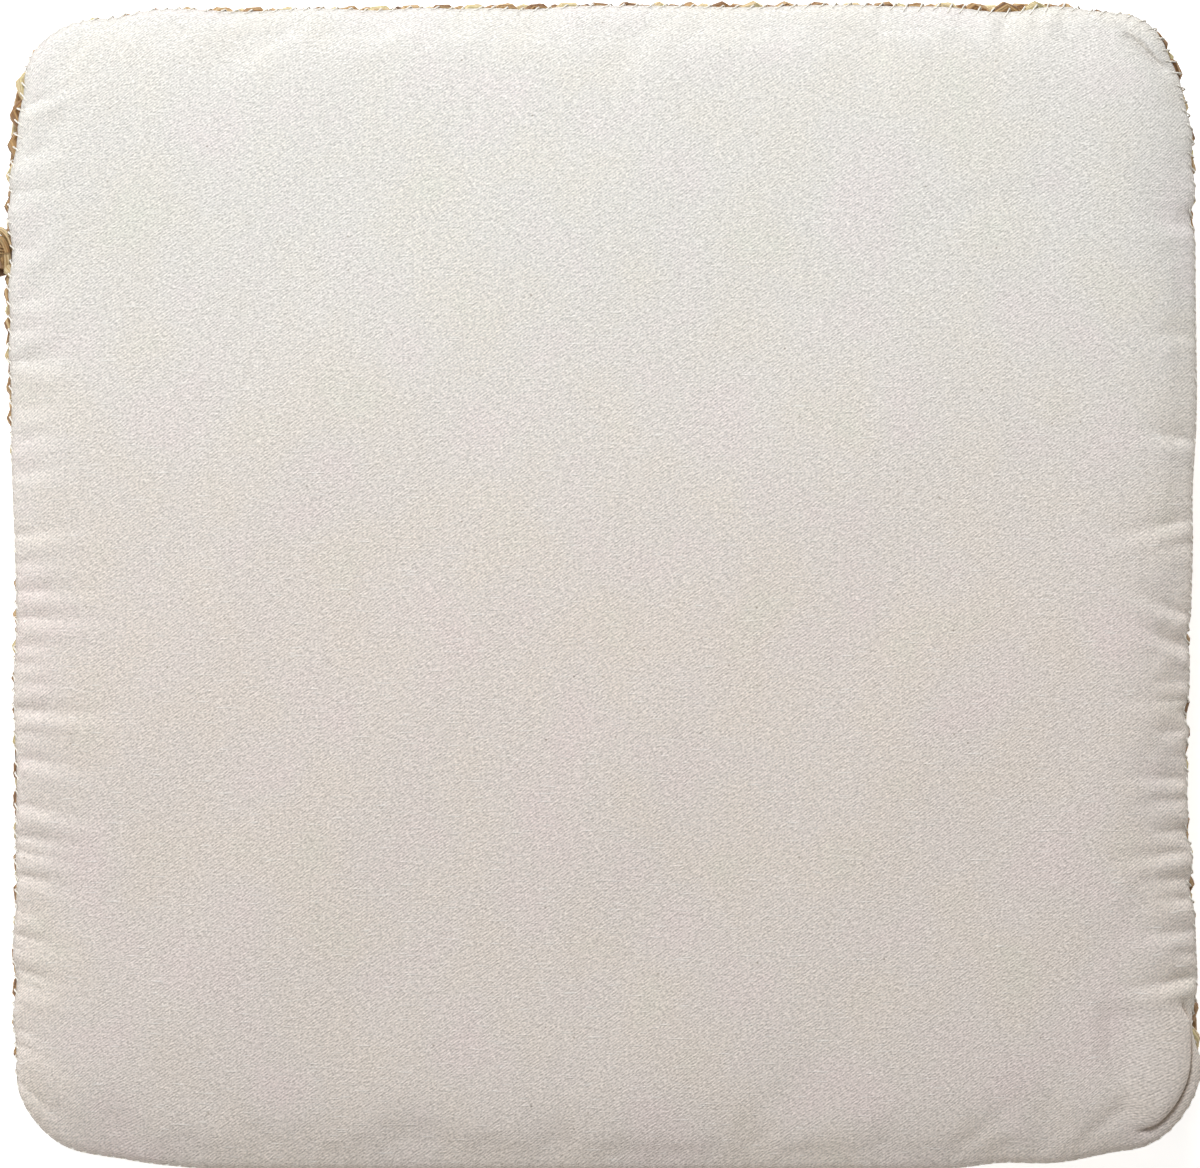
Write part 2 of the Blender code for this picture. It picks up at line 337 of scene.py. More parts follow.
def cotton_twill():
    """Unbleached cotton twill: matt, with fine diagonal lines, slubs and dark flecks of seed."""
    settings = bpy.context.scene.cushion_cotton
    made, tree = start_material("unbleached_cotton_twill")
    flat = add_node(tree, "UVMap", uv_map="cut")
    rise = math.radians(35)  # the lines rise to the right
    leaning = add_node(tree, "Mapping", {"Vector": flat, "Rotation": (0, 0, -rise)})

    # Twill lines about 1 mm apart
    lines = add_node(
        tree,
        "TexWave",
        {
            "Vector": leaning,
            "Scale": math.pi / 10 / settings.weave,
            "Distortion": 2.2,
            "Detail": 2.0,
            "Detail Scale": 1.1,
        },
        bands_direction="Y",
    )
    # Yarn floats 1.5 mm long on the lines, weft marks 4 mm long, grain under 1 mm, slubs in weft
    # and warp, which are thick places 5 to 12 mm long in single yarns, and patches of 45 mm
    noises = []
    for place, across, along, detail in (
        (leaning, 760, 1150, 1),
        (flat, 240, 1300, 1.5),
        (flat, 1050, 1050, 2),
        (flat, 105, 1150, 1),
        (flat, 1150, 120, 1),
        (flat, 22, 22, 4),
    ):
        place = add_node(tree, "Mapping", {"Vector": place, "Scale": (across, along, 1)})
        noises.append(add_node(tree, "TexNoise", {"Vector": place, "Scale": 1, "Detail": detail}))
    floats, weft, grain, slubs, warps, patches = noises
    slubs = add_node(tree, "MapRange", {"Value": slubs, "From Min": 0.63, "From Max": 0.74})
    warps = add_node(tree, "MapRange", {"Value": warps, "From Min": 0.68, "From Max": 0.78})
    weave = floats
    for part, share in ((lines.outputs["Fac"], 0.30), (weft, 0.50), (grain, 0.95)):
        weave = add_node(tree, "Math", {0: part, 1: share, 2: weave}, operation="MULTIPLY_ADD")
    height = weave
    for part, share in ((slubs, 0.55), (warps, 0.35)):
        height = add_node(tree, "Math", {0: part, 1: share, 2: height}, operation="MULTIPLY_ADD")

    # Wide patches lean pink, warm or faintly green; valleys between yarns get painted shade, yarn
    # tops a painted highlight
    stops = ((0.32, "E3DAD2"), (0.47, settings.colour), (0.60, "E2DBCF"), (0.74, "DFDBCD"))
    tone = add_node(tree, "ValToRGB", {"Fac": patches}, stops=stops)
    # Painted shade in the valleys between yarns, painted highlight on their tops
    weave_shade_and_highlight = add_node(
        tree,
        "MapRange",
        {"Value": weave, "From Min": 1.02, "From Max": 1.80, "To Min": 0.63, "To Max": 1.20},
    )
    # The front two thirds are tinted warmer as painted warm light; the hem darkens, part soil, part
    # painted shade
    place = add_node(tree, "SeparateXYZ", {0: flat}).outputs["Y"]
    # Painted warm light: towards the front the colour is multiplied by a warm tint
    painted_warmth = add_node(
        tree,
        "MapRange",
        {"Value": place, "From Min": -0.02, "From Max": 0.15, "To Min": 1.0, "To Max": 0.0},
    )
    warm = {0: painted_warmth, 6: linear("FFFFFF"), 7: linear("FFF8F6")}
    warm = add_node(tree, "Mix", warm, data_type="RGBA")
    # Soil and painted shade: the last millimetre of the hem is mixed towards grey-brown
    hem = add_node(tree, "Attribute", attribute_name="hem").outputs["Fac"]
    soil_and_painted_shade = add_node(tree, "Math", {0: hem, 1: 0.45}, operation="MULTIPLY")
    lift = add_node(tree, "Math", {0: slubs, 1: 0.42}, operation="MULTIPLY")

    # Flecks of seed husk under a millimetre, in a few cells of 7 mm
    cells = add_node(tree, "TexVoronoi", {"Vector": flat, "Scale": 170, "Randomness": 1})
    pick = add_node(tree, "SeparateColor", {"Color": cells.outputs["Color"]})
    pick = add_node(tree, "Math", {0: pick, 1: 0.90}, operation="GREATER_THAN")
    speck = add_node(
        tree,
        "MapRange",
        {"Value": cells, "From Min": 0.05, "From Max": 0.10, "To Min": 0.55, "To Max": 0.0},
    )
    speck = add_node(tree, "Math", {0: pick, 1: speck}, operation="MULTIPLY")

    # Painted warmth, soil with painted shade at the hem, the weave's painted shade and highlight,
    # slubs and flecks, one over the other
    colour = tone
    for share, other, blend in (
        (1.0, warm, "MULTIPLY"),
        (soil_and_painted_shade, linear("9B9184"), "MIX"),
        (1.0, weave_shade_and_highlight, "MULTIPLY"),
        (lift, linear("EFEAE1"), "MIX"),
        (speck, linear("75654F"), "MIX"),
    ):
        inputs = {0: share, 6: colour, 7: other}
        colour = add_node(tree, "Mix", inputs, data_type="RGBA", blend_type=blend)
    surface = {
        "Roughness": 0.92,
        "Specular IOR Level": 0.2,
        "Sheen Weight": 0.08,
        "Sheen Roughness": 0.6,
    }
    return finish_material(made, colour, height, 0.00030, 0.70, surface)


def hyacinth_stalk():
    """Dried water-hyacinth stalk: straw to brown, ribbed lengthwise, dull with a dry sheen."""
    made, tree = start_material("dried_hyacinth_stalk")
    stalk = add_node(tree, "UVMap", uv_map="stalk")

    # Ribs about 1 mm apart round the stalk, streaks 70 mm long and blotches 25 mm long
    noises = []
    for along, around, detail, roughness in (
        (26, 1050, 3, 0.6),
        (14, 330, 2, 0.5),
        (40, 70, 2, 0.5),
    ):
        place = add_node(tree, "Mapping", {"Vector": stalk, "Scale": (along, around, 1)})
        inputs = {"Vector": place, "Scale": 1, "Detail": detail, "Roughness": roughness}
        noises.append(add_node(tree, "TexNoise", inputs))
    ribs, streaks, blotches = noises
    tone = add_node(tree, "Attribute", attribute_name="tone").outputs["Fac"]
    for part, share in ((streaks, 0.75), (blotches, 0.30)):
        tone = add_node(tree, "Math", {0: part, 1: share, 2: tone}, operation="MULTIPLY_ADD")
    stops = (
        (0.48, "5E3F24"), (0.60, "94693C"), (0.72, "C09A66"), (0.84, "DCC395"), (0.97, "CFC08A"),
    )
    colour = add_node(tree, "ValToRGB", {"Fac": tone}, stops=stops)
    # Painted shade in the furrows between ribs, painted highlight on their tops
    rib_shade_and_highlight = add_node(
        tree,
        "MapRange",
        {"Value": ribs, "From Min": 0.34, "From Max": 0.62, "To Min": 0.55, "To Max": 1.12},
    )
    inputs = {0: 1.0, 6: colour, 7: rib_shade_and_highlight}
    colour = add_node(tree, "Mix", inputs, data_type="RGBA", blend_type="MULTIPLY")
    surface = {"Roughness": 0.6, "Specular IOR Level": 0.35}
    return finish_material(made, colour, ribs, 0.0012, 0.85, surface)


def cotton_thread():
    """Twisted cotton sewing thread: off-white and matt, with its twist under half a millimetre."""
    stops = ((0.35, "CCC4B4"), (0.65, "EFEAE0"))
    fibres = ("TexNoise", {"Scale": 1800, "Detail": 2})
    surface = {"Roughness": 0.9}
    return plain_material("twisted_cotton_thread", *fibres, stops, (0.0002, 0.5), surface)


def lacing_twine():
    """Thin brown twine that laces round to round: dull, with its twist about 1 mm long."""
    stops = ((0.35, "6F5331"), (0.65, "B0905F"))
    fibres = ("TexNoise", {"Scale": 900, "Detail": 3})
    surface = {"Roughness": 0.85}
    return plain_material("brown_lacing_twine", *fibres, stops, (0.0003, 0.7), surface)


def open_cell_foam():
    """Cut polyurethane foam: pale yellow and matt, with open cells about 1 mm across."""
    stops = ((0.1, "BFB27C"), (0.6, "EBE2BA"))
    cells = ("TexVoronoi", {"Scale": 900})
    return plain_material("open_cell_foam", *cells, stops, (0.0006, 0.7), {"Roughness": 1.0})


def fibre_wadding():
    """Carded polyester wadding: white, soft and cloudy, in tufts about 20 mm across."""
    stops = ((0.3, "D4D4D1"), (0.7, "F8F8F6"))
    tufts = ("TexNoise", {"Scale": 45, "Detail": 6, "Roughness": 0.65})
    surface = {"Roughness": 1.0, "Sheen Weight": 0.3}
    return plain_material("carded_wadding", *tufts, stops, (0.004, 0.6), surface)


def bonded_liner():
    """Spun-bonded liner cloth: thin and white, pressed with dots 2 mm apart."""
    stops = ((0.15, "D3D3CF"), (0.35, "EEEEEA"))
    dots = ("TexVoronoi", {"Scale": 500, "Randomness": 0.15})
    return plain_material("spunbonded_liner", *dots, stops, (0.0003, 0.4), {"Roughness": 0.85})


def studio_floor():
    """Matt white light table, which glows a little, so that shadows on it stay pale."""
    stops = ((0.3, "F3F3F2"), (0.7, "F6F6F5"))
    surface = {
        "Roughness": 0.95,
        "Specular IOR Level": 0.1,
        "Emission Color": (1.0, 1.0, 1.0, 1.0),
        "Emission Strength": 0.70,
    }
    grain = ("TexNoise", {"Scale": 60})
    return plain_material("white_light_table", *grain, stops, (0.0001, 0.1), surface)


made_materials = {}


def stored(make):
    """The material that a function makes, made once."""
    if make.__name__ not in made_materials:
        made_materials[make.__name__] = make()
    return made_materials[make.__name__]


# Outlines


def trace(half_x, half_y, radius, distance):
    """Points and outward normals at distances round rounded rectangles.

    Distance 0 is the middle of the +X side, and it grows anticlockwise.
    """
    half_x, half_y, radius, distance = np.broadcast_arrays(
        *(np.asarray(value, float) for value in (half_x, half_y, radius, distance))
    )
    bend = radius * math.pi / 2
    lengths = (2 * (half_y - radius) + bend, 2 * (half_x - radius) + bend)
    at = np.mod(distance + half_y - radius, 2 * (lengths[0] + lengths[1]))
    points, normals = np.zeros((len(at), 2)), np.zeros((len(at), 2))
    start = np.zeros(len(at))
    for side in range(4):
        out, across = (half_x, half_y) if side % 2 == 0 else (half_y, half_x)
        here = (at >= start) & (at < start + lengths[side % 2])
        run = (at - start)[here]
        out, across, bow = out[here], across[here], radius[here]
        straight = 2 * (across - bow)
        angle = np.maximum(run - straight, 0.0) / np.maximum(bow, 1e-9)
        normal = np.stack([np.cos(angle), np.sin(angle)], axis=1)
        centre = np.stack([out - bow, np.minimum(run, straight) - (across - bow)], axis=1)
        turn = side * math.pi / 2
        spin = np.array([[math.cos(turn), math.sin(turn)], [-math.sin(turn), math.cos(turn)]])
        points[here] = (centre + bow[:, None] * normal) @ spin
        normals[here] = normal @ spin
        start = start + lengths[side % 2]
    return points, normals


def perimeter(half_x, half_y, radius):
    return 4 * (half_x + half_y) - (8 - 2 * math.pi) * radius


OUTLINE = perimeter(HALF_X, HALF_Y, CORNER_RADIUS)


def corner_radius(inset):
    """The plan radius of a round whose outer edge lies this far in."""
    return INNER_RADIUS + (CORNER_RADIUS - INNER_RADIUS) * RADIUS_FADE ** (inset / FACE_PITCH)


def nearest_edge(x, y):
    """How deep points lie inside the wall's outline, and the normals at their nearest edge."""
    over_x, over_y = np.abs(x) - STRAIGHT_X, np.abs(y) - STRAIGHT_Y
    reach = np.hypot(over_x, over_y)
    corner = (over_x > 0) & (over_y > 0)
    beside = HALF_X - np.abs(x) < HALF_Y - np.abs(y)
    beside_deep = np.minimum(HALF_X - np.abs(x), HALF_Y - np.abs(y))
    deep = np.where(corner, CORNER_RADIUS - reach, beside_deep)
    safe = np.maximum(reach, 1e-9)
    normal_x = np.where(corner, over_x / safe, np.where(beside, 1.0, 0.0)) * np.sign(x)
    normal_y = np.where(corner, over_y / safe, np.where(beside, 0.0, 1.0)) * np.sign(y)
    return deep, normal_x, normal_y


def on_side(x, y, side):
    """Place along a side, depth in from it, and how much a point belongs to it."""
    sign = 1.0 if side[0] == "+" else -1.0
    along, across, half = (y, x, HALF_X) if side[1] == "X" else (x, y, HALF_Y)
    belongs = np.clip((sign * across / half - 0.55) / 0.40, 0.0, 1.0)
    return along, half - sign * across, belongs


def summed(x, y, table):
    """What the bumps of a table of sides add up to, in metres."""
    total = np.zeros_like(x)
    for side, bumps in table.items():
        along, _, belongs = on_side(x, y, side)
        for place, spread, amount in bumps:
            total += amount * MM * belongs * np.exp(-(((along - place * MM) / (spread * MM)) ** 2))
    return total


def set_by_hand(co):
    """Moves points as the maker's hand left the cushion, not quite square."""
    x, y = co[:, 0].copy(), co[:, 1].copy()
    for side, bumps in SIDE_PULLS.items():
        axis = 0 if side[1] == "X" else 1
        co[:, axis] -= summed(x, y, {side: bumps}) * (1.0 if side[0] == "+" else -1.0)
    bow = CORNER_RADIUS * (1 - math.sqrt(0.5))
    for (sign_x, sign_y), amount in CORNER_PULLS.items():
        away = np.hypot(x - sign_x * (HALF_X - bow), y - sign_y * (HALF_Y - bow))
        pulled = amount * MM * math.sqrt(0.5) * np.exp(-((away / 0.045) ** 2))
        co[:, 0] -= sign_x * pulled
        co[:, 1] -= sign_y * pulled
    return co


def wander(seed, length, at, waves=5, longest=0.25):
    """A smooth value between about -1 and 1 that repeats every length."""
    rng = random.Random(seed)
    total = np.zeros_like(at)
    first = max(1, round(length / longest))
    for wave in range(waves):
        turns = first + wave * rng.randint(1, 3)
        total += np.sin(2 * math.pi * (turns * at / length + rng.random())) * rng.uniform(0.4, 1.0)
    return total / waves**0.5 / 0.8


# Meshes


def link(obj):
    bpy.context.scene.collection.objects.link(obj)
    return obj


def read_points(mesh):
    co = np.empty(len(mesh.vertices) * 3)
    mesh.vertices.foreach_get("co", co)
    return co.reshape(-1, 3)


def write_points(mesh, co):
    mesh.vertices.foreach_set("co", np.ascontiguousarray(co).ravel())
    mesh.update()


def baked(obj):
    """The mesh of an object with its curve swept and its modifiers applied; the object goes."""
    evaluated = obj.evaluated_get(bpy.context.evaluated_depsgraph_get())
    mesh = bpy.data.meshes.new_from_object(evaluated)
    bpy.data.objects.remove(obj)
    mesh.shade_smooth()
    return mesh


def new_piece(name, mesh, make, slot, *nodes):
    """A piece of the cushion with its material and the parts that it stands for."""
    mesh.materials.clear()
    mesh.materials.append(stored(make))
    piece = link(bpy.data.objects.new(name, mesh))
    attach(piece, "root")
    if nodes:
        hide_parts(*nodes)
    return piece


def stalk_section(width, thickness):
    """The ribbed, flattened section of one strand, as a curve object to sweep."""
    curve = bpy.data.curves.new("strand_section", "CURVE")
    curve.dimensions = "2D"
    spline = curve.splines.new("POLY")
    count = 16
    spline.points.add(count - 1)
    for number, point in enumerate(spline.points):
        angle = 2 * math.pi * number / count
        rib = 1.04 if number % 2 else 0.95
        squash = 1 - 0.10 * math.cos(2 * angle) ** 2
        point.co = (
            0.5 * width * rib * squash * math.cos(angle),
            0.5 * thickness * rib * math.sin(angle),
            0.0,
            1.0,
        )
    spline.use_cyclic_u = True
    return link(bpy.data.objects.new("strand_section", curve))


def swept(name, paths, section=None, radius=0.0, closed=True):
    """One mesh swept along paths of points, or of (points, radii, tilts)."""
    curve = bpy.data.curves.new(name, "CURVE")
    curve.dimensions = "3D"
    curve.twist_mode = "Z_UP"
    curve.use_fill_caps = not closed
    if section:
        curve.bevel_mode = "OBJECT"
        curve.bevel_object = section
    else:
        curve.bevel_depth = radius
        curve.bevel_resolution = 1
    for path in paths:
        points, radii, tilts = path if isinstance(path, tuple) else (path, None, None)
        spline = curve.splines.new("POLY")
        spline.points.add(len(points) - 1)
        spline.points.foreach_set("co", np.c_[points, np.ones(len(points))].ravel())
        if radii is not None:
            spline.points.foreach_set("radius", radii)
            spline.points.foreach_set("tilt", tilts)
        spline.use_cyclic_u = closed
    return baked(link(bpy.data.objects.new(name, curve)))


def name_stalks(mesh, lengths, girth, seed, tones=None):
    """Gives swept strands their stalk UV in metres and a tone each, at random if none is given."""
    rng = random.Random(seed)
    uv = np.empty(len(mesh.loops) * 2)
    mesh.uv_layers[0].data.foreach_get("uv", uv)
    uv = uv.reshape(-1, 2)
    corner = np.empty(len(mesh.loops), int)
    mesh.loops.foreach_get("vertex_index", corner)
    strand_size = len(mesh.vertices) / len(lengths)
    of_vertex = (np.arange(len(mesh.vertices)) / strand_size).astype(int)
    of_vertex = np.minimum(of_vertex, len(lengths) - 1)
    strand = of_vertex[corner]
    along = uv[:, 0] * np.array(lengths)[strand] + strand * 3.7 + seed * 0.61
    around = uv[:, 1] * girth + strand * 0.17
    mesh.uv_layers[0].name = "stalk"
    mesh.uv_layers[0].data.foreach_set("uv", np.c_[along, around].ravel())
    tones = np.array(tones or [rng.uniform(0.09, 0.37) for _ in lengths])
    attribute = mesh.attributes.new("tone", "FLOAT", "POINT")
    attribute.data.foreach_set("value", tones[of_vertex])


def slab(size_x, size_y, cell, bands=()):
    """A closed slab over a square of -1 to 1, its top at z 1 and its underside at z 0.

    Each band is (shells, cuts): that many of the top's shells are cut finer, from its edge in.
    """
    columns, rows = round(2 * size_x / cell), round(2 * size_y / cell)
    bm = bmesh.new()
    bmesh.ops.create_grid(bm, x_segments=columns, y_segments=rows, size=1.0)
    raised = bmesh.ops.extrude_face_region(bm, geom=bm.faces[:])["geom"]
    top = [item for item in raised if isinstance(item, bmesh.types.BMVert)]
    bmesh.ops.translate(bm, verts=top, vec=(0, 0, 1))
    bmesh.ops.recalc_face_normals(bm, faces=bm.faces[:])
    done = 0
    for shells, cuts in bands:
        low_x, low_y = 1 - 2 * (done + shells) / columns, 1 - 2 * (done + shells) / rows
        high_x, high_y = 1 - 2 * done / columns, 1 - 2 * done / rows
        slack = 1e-5 if done == 0 else -1e-5
        chosen = []
        for edge in bm.edges:
            middle = (edge.verts[0].co + edge.verts[1].co) / 2
            outside = max(abs(middle.x) - low_x, abs(middle.y) - low_y) > -1e-5
            inside = max(abs(middle.x) - high_x, abs(middle.y) - high_y) < slack
            if outside and inside and middle.z > 0.99:
                chosen.append(edge)
        bmesh.ops.subdivide_edges(bm, edges=chosen, cuts=cuts, use_grid_fill=True)
        done += shells
    mesh = bpy.data.meshes.new("slab")
    bm.to_mesh(mesh)
    bm.free()
    return mesh


def shells_in_plan(square, depth_of, half_x, half_y, corner):
    """Plan points of a slab's square points, on shells that follow a rounded rectangle."""
    a, b = square[:, 0], square[:, 1]
    shell = np.maximum(np.abs(a), np.abs(b))
    safe = np.maximum(shell, 1e-9)
    deep = depth_of(1 - shell)
    # The last shell closes on a short line, not a point, since one side is longer
    out_x, out_y = np.maximum(half_x - deep, 1e-6), np.maximum(half_y - deep, 1e-6)
    radius = np.clip(corner - deep, 0.0, None)
    side = np.where(np.abs(a) >= np.abs(b), np.where(a > 0, 0, 2), np.where(b > 0, 1, 3))
    signed = np.choose(side, [b, -a, -b, a]) / safe
    across = np.where(side % 2 == 0, out_y, out_x)
    quarter = out_x + out_y - 2 * radius + radius * math.pi / 2
    at = side * quarter + signed * (across - radius + radius * math.pi / 4)
    points, _ = trace(out_x, out_y, radius, at)
    return points, deep


# The plaits


def plait_round(name, node, half_x, half_y, radius, upright, seed):
    """A closed round of three-strand plait, lying flat or stood on edge, in place of a part."""
    settings = bpy.context.scene.cushion_plait
    low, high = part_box(node)
    length = perimeter(half_x, half_y, radius)
    periods = max(3, round(length / settings.period))
    count = periods * settings.samples
    at = np.arange(count) * length / count
    centre, normal = trace(half_x, half_y, radius, at)
    width = (high.z - low.z) if upright else 2 * (high.x - half_x)
    swing = (width - settings.strand_width) / 2
    lift = (BRAID_THICKNESS - settings.strand_thickness) / 2 + (0.0004 if upright else -0.0006)
    middle = (low.z + high.z) / 2
    lean = math.pi / 2 if upright else 0.0
    # The hand's tension lets the crossings drift along the round
    drift = 0.35 * wander(seed * 7 + 6, length, at, 4, 0.3)
    paths = []
    for strand in range(3):
        phase = 2 * math.pi * (periods * at / length + strand / 3) + drift
        uneven = 1 + 0.08 * wander(seed * 7 + strand, length, at)
        across = swing * np.sin(phase) * uneven
        over = lift * np.sin(2 * phase)
        out, up = (over, across) if upright else (across, over)
        points = np.c_[centre + normal * out[:, None], middle + up]
        radii = 1 + 0.08 * wander(seed * 7 + strand + 3, length, at, 7, 0.09)
        tilts = lean + 0.16 * wander(seed * 7 + strand + 5, length, at, 7, 0.07)
        paths.append((set_by_hand(points), radii, tilts))
    mesh = swept(name, paths, bpy.data.objects["strand_section"])
    # The cushion's weight flattens what lies on the floor
    co = read_points(mesh)
    co[:, 2] = np.maximum(co[:, 2], 0.0001)
    write_points(mesh, co)
    girth = 2.4 * (settings.strand_width + settings.strand_thickness)
    name_stalks(mesh, [length * 1.2] * 3, girth, seed)
    return new_piece(name, mesh, hyacinth_stalk, "hyacinth_braid", node)


class CUSHION_OT_section(bpy.types.Operator):
    """The section of one strand, which every plait is swept from"""

    bl_idname = "cushion.section"
    bl_label = "Strand Section"

    def execute(self, context):
        settings = context.scene.cushion_plait
        stalk_section(settings.strand_width, settings.strand_thickness)
        return {"FINISHED"}


class CUSHION_OT_face(bpy.types.Operator):
    """Flat rounds of plait from the outer edge to the middle, and the doubled plait there"""

    bl_idname = "cushion.face"
    bl_label = "Plaited Face"

    def execute(self, context):
        half_width = FACE_PITCH / 2 - 0.00015
        for number, node in enumerate(FACE_ROUNDS):
            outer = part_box(node)[1]
            radius = max(corner_radius(number * FACE_PITCH + FACE_PITCH / 2), half_width)
            name = f"face_plait_{number + 1:02d}"
            half_x, half_y = outer.x - half_width, outer.y - half_width
            plait_round(name, node, half_x, half_y, radius, False, number)
        self.middle(context.scene.cushion_plait)
        return {"FINISHED"}

    def middle(self, settings):
        """The start of the plait, bent back on itself in the middle of the face."""
        low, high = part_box("face_braid_middle")
        reach = high.x - settings.strand_width / 2 - MM
        half = high.y - settings.strand_width / 2 - MM
        count = 60
        paths, lengths = [], []
        for turn, share in enumerate((1.0, 0.42)):
            out_x, out_y = (reach, half) if turn == 0 else (reach * 0.62, half * share)
            length = perimeter(out_x, out_y, out_y * 0.999)
            at = np.arange(count) * length / count
            ring, _ = trace(out_x, out_y, out_y * 0.999, at)
            lift = (BRAID_THICKNESS - settings.strand_thickness) / 2 * 0.9
            wave = lift * np.sin(6 * math.pi * at / length + turn)
            path = np.c_[ring, (low.z + high.z) / 2 + wave]
            paths.append((path, np.full(count, 1.08), np.zeros(count)))
            lengths.append(length)
        mesh = swept("face_plait_middle", paths, bpy.data.objects["strand_section"])
        name_stalks(mesh, lengths, 0.036, 40)
        new_piece("face_plait_middle", mesh, hyacinth_stalk, "hyacinth_braid", "face_braid_middle")


class CUSHION_OT_wall(bpy.types.Operator):
    """Rounds of plait stood on edge, one above the other"""

    bl_idname = "cushion.wall"
    bl_label = "Plaited Wall"

    def execute(self, context):
        half = BRAID_THICKNESS / 2
        for number, node in enumerate(WALL_ROUNDS):
            name = f"wall_plait_{number + 1}"
            radius = CORNER_RADIUS - half
            plait_round(name, node, HALF_X - half, HALF_Y - half, radius, True, 20 + number)
        return {"FINISHED"}


class CUSHION_OT_lacing(bpy.types.Operator):
    """Twine that laces each round of plait to the next, zigzag across the groove between"""

    bl_idname = "cushion.lacing"
    bl_label = "Lacing"

    def execute(self, context):
        for number, node in enumerate(FACE_LACINGS):
            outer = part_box(node)[1]
            radius = max(corner_radius((number + 1) * FACE_PITCH), 0.002)
            name = f"face_lacing_twine_{number + 1:02d}"
            self.lace(name, node, outer.x, outer.y, radius, False, number)
        half = BRAID_THICKNESS / 2
        for number, node in enumerate(WALL_LACINGS):
            name = f"wall_lacing_twine_{number + 1}"
            radius = CORNER_RADIUS - half
            self.lace(name, node, HALF_X - half, HALF_Y - half, radius, True, 30 + number)
        return {"FINISHED"}

    def lace(self, name, node, half_x, half_y, radius, upright, seed):
        """One closed length of twine along a groove, in place of a part."""
        low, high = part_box(node)
        length = perimeter(half_x, half_y, radius)
        stitches = max(4, round(length / LACE_STITCH))
        count = stitches * 8
        at = np.arange(count) * length / count
        phase = 2 * math.pi * stitches * at / length + 0.5 * wander(seed, length, at, 4, 0.2)
        centre, normal = trace(half_x, half_y, radius, at)
        # The twine dips through each plait and crosses the groove on both faces
        across = LACE_REACH * np.sin(phase)
        through = LACE_DEPTH * np.cos(phase)
        middle = (low.z + high.z) / 2 if upright else BRAID_THICKNESS / 2
        out, up = (through, across) if upright else (across, through)
        points = np.c_[centre + normal * out[:, None], middle + up]
        mesh = swept(name, [set_by_hand(points)], radius=TWINE_RADIUS)
        new_piece(name, mesh, lacing_twine, "cotton_thread", node)


class CUSHION_OT_tail(bpy.types.Operator):
    """The end of the plait, doubled over at the back of the left side, and its binding"""

    bl_idname = "cushion.tail"
    bl_label = "Bound Tail"

    def execute(self, context):
        low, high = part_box("braid_tail")
        middle = (low.y + high.y) / 2
        centre_x, centre_y, top = low.x + 0.0018, middle - 0.0035, high.z + 0.0016
        paths = []
        # Three turns curl over the back half; in the hollow below them lies one turn toned dark
        # brown as painted shade
        turn = np.linspace(math.radians(122), math.radians(-35), 24)
        ends = (np.linspace(-1, 1, 24) ** 2) ** 2
        for across, along, drop in (
            (0.0022, 0.0050, 0.0012),
            (0.0043, 0.0088, 0.0),
            (0.0064, 0.0124, 0.0010),
        ):
            x = centre_x + across * np.cos(turn)
            y = centre_y + along * np.sin(turn)
            curl = np.c_[x, y, top - drop - 0.0060 * ends]
            paths.append((curl, np.full(24, 0.36), 0.4 * np.sin(2 * turn)))
        # A dark turn laid in the hollow stands in for its shadow: painted shade
        deep_y = np.linspace(middle + 0.0060, low.y - 0.0005, 16)
        sag = 0.0015 * np.sin(np.linspace(0, math.pi, 16))
        painted_shade_turn = np.c_[centre_x + 0.0004 - sag, deep_y, np.full(16, low.z + 0.005)]
        paths.append((painted_shade_turn, np.full(16, 0.85), np.zeros(16)))
        mesh = swept("tail_loop", paths, bpy.data.objects["strand_section"], closed=False)
        # The fourth tone, below the stalk's range, paints that turn dark brown as shade
        name_stalks(mesh, [0.03] * 4, 0.016, 50, [0.20, 0.15, 0.24, -0.10])
        new_piece("tail_loop", mesh, hyacinth_stalk, "hyacinth_braid", "braid_tail")
        self.binding(middle + 0.0005, (low.z + high.z) / 2, low.x + 0.0026)
        return {"FINISHED"}

    def binding(self, y, z, x):
        """Turns of twine round the tail."""
        turn = np.linspace(0.0, 6 * math.pi, 61)
        along = y + 0.0040 * (turn / turn[-1] - 0.5)
        path = np.c_[x + 0.0042 * np.cos(turn), along, z + 0.0098 * np.sin(turn)]
        mesh = swept("tail_wrap", [path], radius=0.0005, closed=False)
        new_piece("tail_wrap", mesh, lacing_twine, "cotton_thread", "tail_binding")


# The cotton


def crown(deep, full):
    """Height of the padded cotton over the wall, from its hem in to its middle."""
    edge, roll = EDGE_SHARE * full, ROLL_SHARE * full
    # A little over the rest, since the middle is too near for the last part to rise in full
    middle = (full - edge - roll) * 1.017
    return (
        edge * (1 - np.exp(-deep / EDGE_RUN))
        + roll * (1 - np.exp(-deep / ROLL_RUN))
        + middle * (1 - np.exp(-deep / MIDDLE_RUN))
    )


def stitch_places():
    """Distances round the edge at which the cotton is stitched."""
    settings = bpy.context.scene.cushion_stitch
    rng = random.Random(11)
    count = round(OUTLINE / settings.pitch)
    return [OUTLINE * number / count + rng.uniform(-0.0007, 0.0007) for number in range(count)]


def stitch_gap(x, y, normal_x, normal_y):
    """How far round the edge points lie from their nearest stitch."""
    held_x, held_y = np.clip(x, -STRAIGHT_X, STRAIGHT_X), np.clip(y, -STRAIGHT_Y, STRAIGHT_Y)
    turn = np.mod(np.arctan2(normal_y, normal_x), 2 * math.pi)
    side = np.round(turn / (math.pi / 2)).astype(int)
    # Each side's run starts where the one before it ends
    both = STRAIGHT_X + STRAIGHT_Y
    offsets = [held_y, -held_x, -held_y, held_x, held_y]
    run = np.choose(side, [number * both + offset for number, offset in enumerate(offsets)])
    at = np.mod(CORNER_RADIUS * turn + run, OUTLINE)
    places = np.sort(np.mod(stitch_places(), OUTLINE))
    places = np.concatenate([[places[-1] - OUTLINE], places, [places[0] + OUTLINE]])
    after = np.clip(np.searchsorted(places, at), 1, len(places) - 1)
    return np.minimum(at - places[after - 1], places[after] - at)


